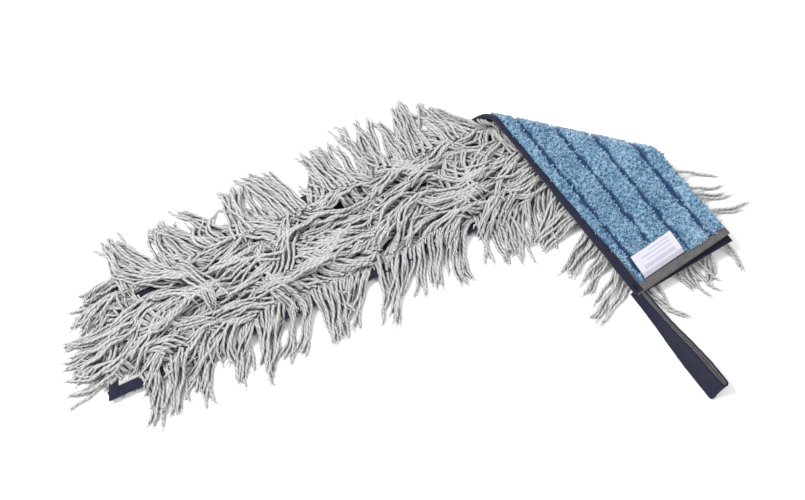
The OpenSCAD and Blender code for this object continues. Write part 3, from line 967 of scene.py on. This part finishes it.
def rowLocks(node, line, side, low, high, reach, outer, comb, keep=1.0):
    # positive lean combs a lock towards the closed end
    locks = []
    x = low
    while x < high:
        count = int(rng.integers(5, 12))
        pitch = yarn["pitch"] / keep
        lean = rng.normal(comb(x), 0.20) if outer else rng.normal(1.12, 0.32) * rng.choice([1, 1, 1, 1, -1])
        curl = rng.normal() * (0.35 if outer else 0.90)
        put = lambda s: np.array([s, line + side * rng.uniform(-0.0025, 0.0060)])
        heading = side * (math.pi / 2 + lean)
        tighten = side * rng.uniform(0.05, 0.45)
        longer = 1.12 if node == "fringeBack" and 0.02 < x < 0.17 else 1
        size = reach * rng.uniform(0.84, 1.06) * longer
        locks.append(lock(node, x, count, pitch, put, heading, curl, size, tighten))
        x += count * pitch
    return locks


def rowEnd(line):
    # where the header tape meets the fold
    return rollCentre[0] + (rollRadius * 0.35 + (rollCentre[1] - line) * outward[1]) / outward[0]


def backComb(x):
    # the back fringe points to the closed end there, turns from it further on, and back beside the fold
    away = np.clip((x - closedX(halfWidth)) / 0.42, 0, 1)
    again = np.clip((x - 0.13) / 0.05, 0, 1)
    return 0.5 - 0.85 * away + 0.80 * again


def frontComb(x):
    return 0.45


def flapComb(x):
    return -0.45


def inBarePatch(xy):
    # the corner of the closed end that no yarn covers
    x, y = xy[:, 0] - closedX(xy[:, 1]), xy[:, 1] + halfWidth
    return ((x > 0) & (x < 0.028) & (y > 0) & (y < 0.014)).any()


def pastFold(xy):
    # how far a strand reaches out beyond the middle of the roll
    return ((xy - rollCentre[:2]) @ outward[:2]).max()


mainLocks = {"edge": [], "inner": []}
for i, line in enumerate(rowLines, 1):
    for side in (-1, 1):
        outer = (i == 1 and side < 0) or (i == 5 and side > 0)
        node = "fringe" + ("Front" if side < 0 else "Back") if outer else "row" + str(i)
        reach = yarn["fringeLength"] if outer else yarn["length"]
        low = closedX(line) + (0.034 if outer and side < 0 else 0.013)
        high = rowEnd(line)
        comb = backComb if side > 0 else frontComb
        place = "edge" if outer else "inner"
        mainLocks[place] += rowLocks(node, line, side, low, high, reach, outer, comb)
        if outer and side > 0:
            mainLocks[place] += rowLocks(node, line - 0.006, side, low, high, reach, outer, comb, 0.8)
closedLocks = []
endPitch = 0.0027
for layer in range(2):
    y = -halfWidth + 0.026
    while y < halfWidth - 0.005:
        count = int(rng.integers(4, 9))
        put = lambda s: np.array([closedX(s) + 0.013 + 0.004 * layer + rng.uniform(0, 0.003), s])
        heading = math.pi + rng.uniform(-0.50, 0.25)
        curl = rng.uniform(-0.6, 0.6)
        reach = yarn["fringeLength"] * rng.uniform(0.7, 1.02)
        closedLocks.append(lock("closedEnd", y, count, endPitch, put, heading, curl, reach, 0.1))
        y += count * endPitch + rng.uniform(0.001, 0.010)
order = mainLocks["edge"][::2] + closedLocks[::2]
rng.shuffle(order)
rest = mainLocks["inner"] + mainLocks["edge"][1::2] + closedLocks[1::2]
rng.shuffle(rest)
strands = {}
for group in order + rest:
    for node, root, heading, curl, reach, phase in group:
        xy = strandPath(root, heading, curl, reach, phase)
        if sample(ceiling, xy[6]) < 0.9 and rng.uniform() < 0.45:
            continue
        if pastFold(xy) > (0.018 if node == "fringeBack" else 0.004):
            continue
        if inBarePatch(xy) and rng.uniform() < 0.88:
            continue
        strands.setdefault(node, []).append(layDown(xy, yarn["radius"]))
print("main strands", {k: len(v) for k, v in strands.items()})


def onFlap(flatXY):
    p = laid(np.column_stack([flatXY, np.full(len(flatXY), zRow + 0.0016)]))
    return p[:, :2], p[:, 2]


flapLow = [rowEnd(line) + math.pi * rollRadius * 1.35 / outward[0] * 0.62 for line in rowLines]
flapLocks = []
for i, line in enumerate(rowLines, 1):
    for side in (-1, 1):
        outer = (i == 1 and side < 0) or (i == 5 and side > 0)
        node = "flapFringe" + ("Front" if side < 0 else "Back") if outer else "flapRow" + str(i)
        reach = yarn["fringeLength"] if outer else yarn["length"] * 0.9
        keep = 0.95 if (outer and side > 0) else 0.30 if outer else 0.55
        high = mouthX(line) - 0.013
        flapLocks += rowLocks(node, line, side, flapLow[i - 1], high, reach, outer, flapComb, keep)
mouthLocks = []
y = -halfWidth + 0.004
while y < halfWidth - 0.012:
    count = int(rng.integers(1, 4))
    put = lambda s: np.array([mouthX(s) - 0.013 - rng.uniform(0, 0.004), s])
    heading = rng.uniform(-0.55, 0.35)
    curl = rng.uniform(-0.8, 0.8)
    reach = yarn["fringeLength"] * rng.uniform(0.55, 0.95)
    mouthLocks.append(lock("mouthFringe", y, count, yarn["pitch"], put, heading, curl, reach, 0.25))
    y += count * yarn["pitch"] + rng.uniform(0.006, 0.016)
rng.shuffle(flapLocks)
for group in flapLocks + mouthLocks:
    for node, root, heading, curl, reach, phase in group:
        flatXY = strandPath(root, heading, curl, reach, phase)
        xy, z = onFlap(flatXY)
        if pastFold(xy) > 0.010:
            continue
        pastMouth = (flatXY[:, 0] - mouthX(flatXY[:, 1])).max()
        if node != "mouthFringe" and pastMouth > (0.004 if "Fringe" in node else -0.004):
            continue
        if foldDistance(np.array([[*root, 0]]))[0] < rollRadius:
            continue
        strands.setdefault(node, []).append(layDown(xy, yarn["radius"], z[0] - 0.0006, 0.0018))
print("flap strands", sum(len(v) for k, v in strands.items() if "lap" in k or "mouth" in k))

rollStrands = []
for line in rowLines:
    for side in (-1, 1):
        start = rowEnd(line) - 0.01
        for a in np.arange(start, start + 0.036, 0.004):
            s = np.linspace(0, 1, 7)
            lean = rng.uniform(-0.6, 0.6)
            x = a + 0.018 * s * math.sin(lean)
            y = line + side * (0.002 + 0.018 * s * math.cos(lean))
            path = laid(np.column_stack([x, y, zRow + 0.0014 + 0.0032 * np.sin(math.pi * s * 0.9)]))
            if foldDistance(np.array([[a, line, 0]]))[0] < rollRadius * 0.2:
                rollStrands.append(path)
strands["rollYarn"] = rollStrands

yarnNodes = {
    **{"row" + str(i): (["yarn_row_" + str(i) + "_main"], "main") for i in range(1, 6)},
    "fringeFront": (["front_fringe_main"], "main"),
    "fringeBack": (["back_fringe_main"], "main"),
    "closedEnd": (["closed_end_fringe"], "main"),
    "rollYarn": (["yarn_rows_turn"], "main"),
    **{"flapRow" + str(i): (["yarn_row_" + str(i) + "_flap"], "flap") for i in range(1, 6)},
    "flapFringeFront": (["front_fringe_flap"], "flap"),
    "flapFringeBack": (["back_fringe_flap"], "flap"),
    "mouthFringe": (["mouth_fringe"], "flap"),
}
taper = ([0, 0.9, 1.0], [1, 1, 0.8])
for key, (nodes, body) in yarnNodes.items():
    mesh = tubes(key, strands[key], yarn["radius"], 1, taper)
    obj = finished(key, mesh, "yarn")
    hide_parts(*nodes)
    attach(obj, body)
    print(key, len(strands[key]), len(mesh.polygons))
    if key == "rollYarn":
        continue
    hairs = []
    for line in strands[key]:
        run = line[-1] - line[-2]
        run = run / np.linalg.norm(run)
        for _ in range(2):
            aim = run + rng.normal(size=3) * np.array([0.35, 0.35, 0.15])
            bend = rng.normal(size=3) * np.array([0.0012, 0.0012, 0.0005])
            tip = line[-1] + aim * rng.uniform(0.003, 0.007)
            hair = np.array([line[-1] - run * 0.001, (line[-1] + tip) / 2 + bend, tip])
            hair[:, 2] = np.maximum(hair[:, 2], 0.0006)
            hairs.append(hair)
    frayMesh = tubes(key + "Fray", hairs, 0.0007, 0, ([0, 1], [1, 0.5]), False)
    fray = finished(key + "Fray", frayMesh, "fray")
    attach(fray, body)


# floor, light and camera

def floorShape(u, v):
    return np.column_stack([(u - 0.5) * 12, (v - 0.5) * 12, 0 * u - 0.0004])


floorMesh = flatGrid("floor", 2, 2, floorShape)
floor = bpy.data.objects.new("floor", floorMesh)
bpy.context.collection.objects.link(floor)
floorMesh.materials.append(material("whiteFloor", (0.93, 0.93, 0.93), 0.9)[0])

lookAt = Vector((0.0506, -0.0474, 0.0138))
lamps = [
    ("keyLight", (-1.1, 0.9, 2.2), 0.9, 76.0),
    ("fillLight", (1.5, -1.2, 1.9), 1.4, 14.0),
]
for name, place, size, power in lamps:
    lamp = bpy.data.lights.new(name, "AREA")
    lamp.size = size
    lamp.energy = power
    obj = bpy.data.objects.new(name, lamp)
    obj.location = place
    obj.rotation_euler = (lookAt - obj.location).to_track_quat("-Z", "Y").to_euler()
    bpy.context.collection.objects.link(obj)

world = bpy.data.worlds.new("studio")
bpy.context.scene.world = world
world.use_nodes = True
world.node_tree.nodes["Background"].inputs["Color"].default_value = (1, 1, 1, 1)
world.node_tree.nodes["Background"].inputs["Strength"].default_value = 0.85

azimuth, elevation, distance = math.radians(-26.5), math.radians(68.2), 1.754
level = math.cos(elevation)
back = Vector((math.sin(azimuth) * level, -math.cos(azimuth) * level, math.sin(elevation)))
camera = bpy.data.objects.new("camera", bpy.data.cameras.new("camera"))
camera.location = lookAt + distance * back
camera.rotation_euler = (-back).to_track_quat("-Z", "Y").to_euler()
camera.data.lens = 72.16
camera.data.sensor_width = 36
bpy.context.collection.objects.link(camera)
bpy.context.scene.camera = camera
bpy.context.scene.view_settings.view_transform = "Standard"
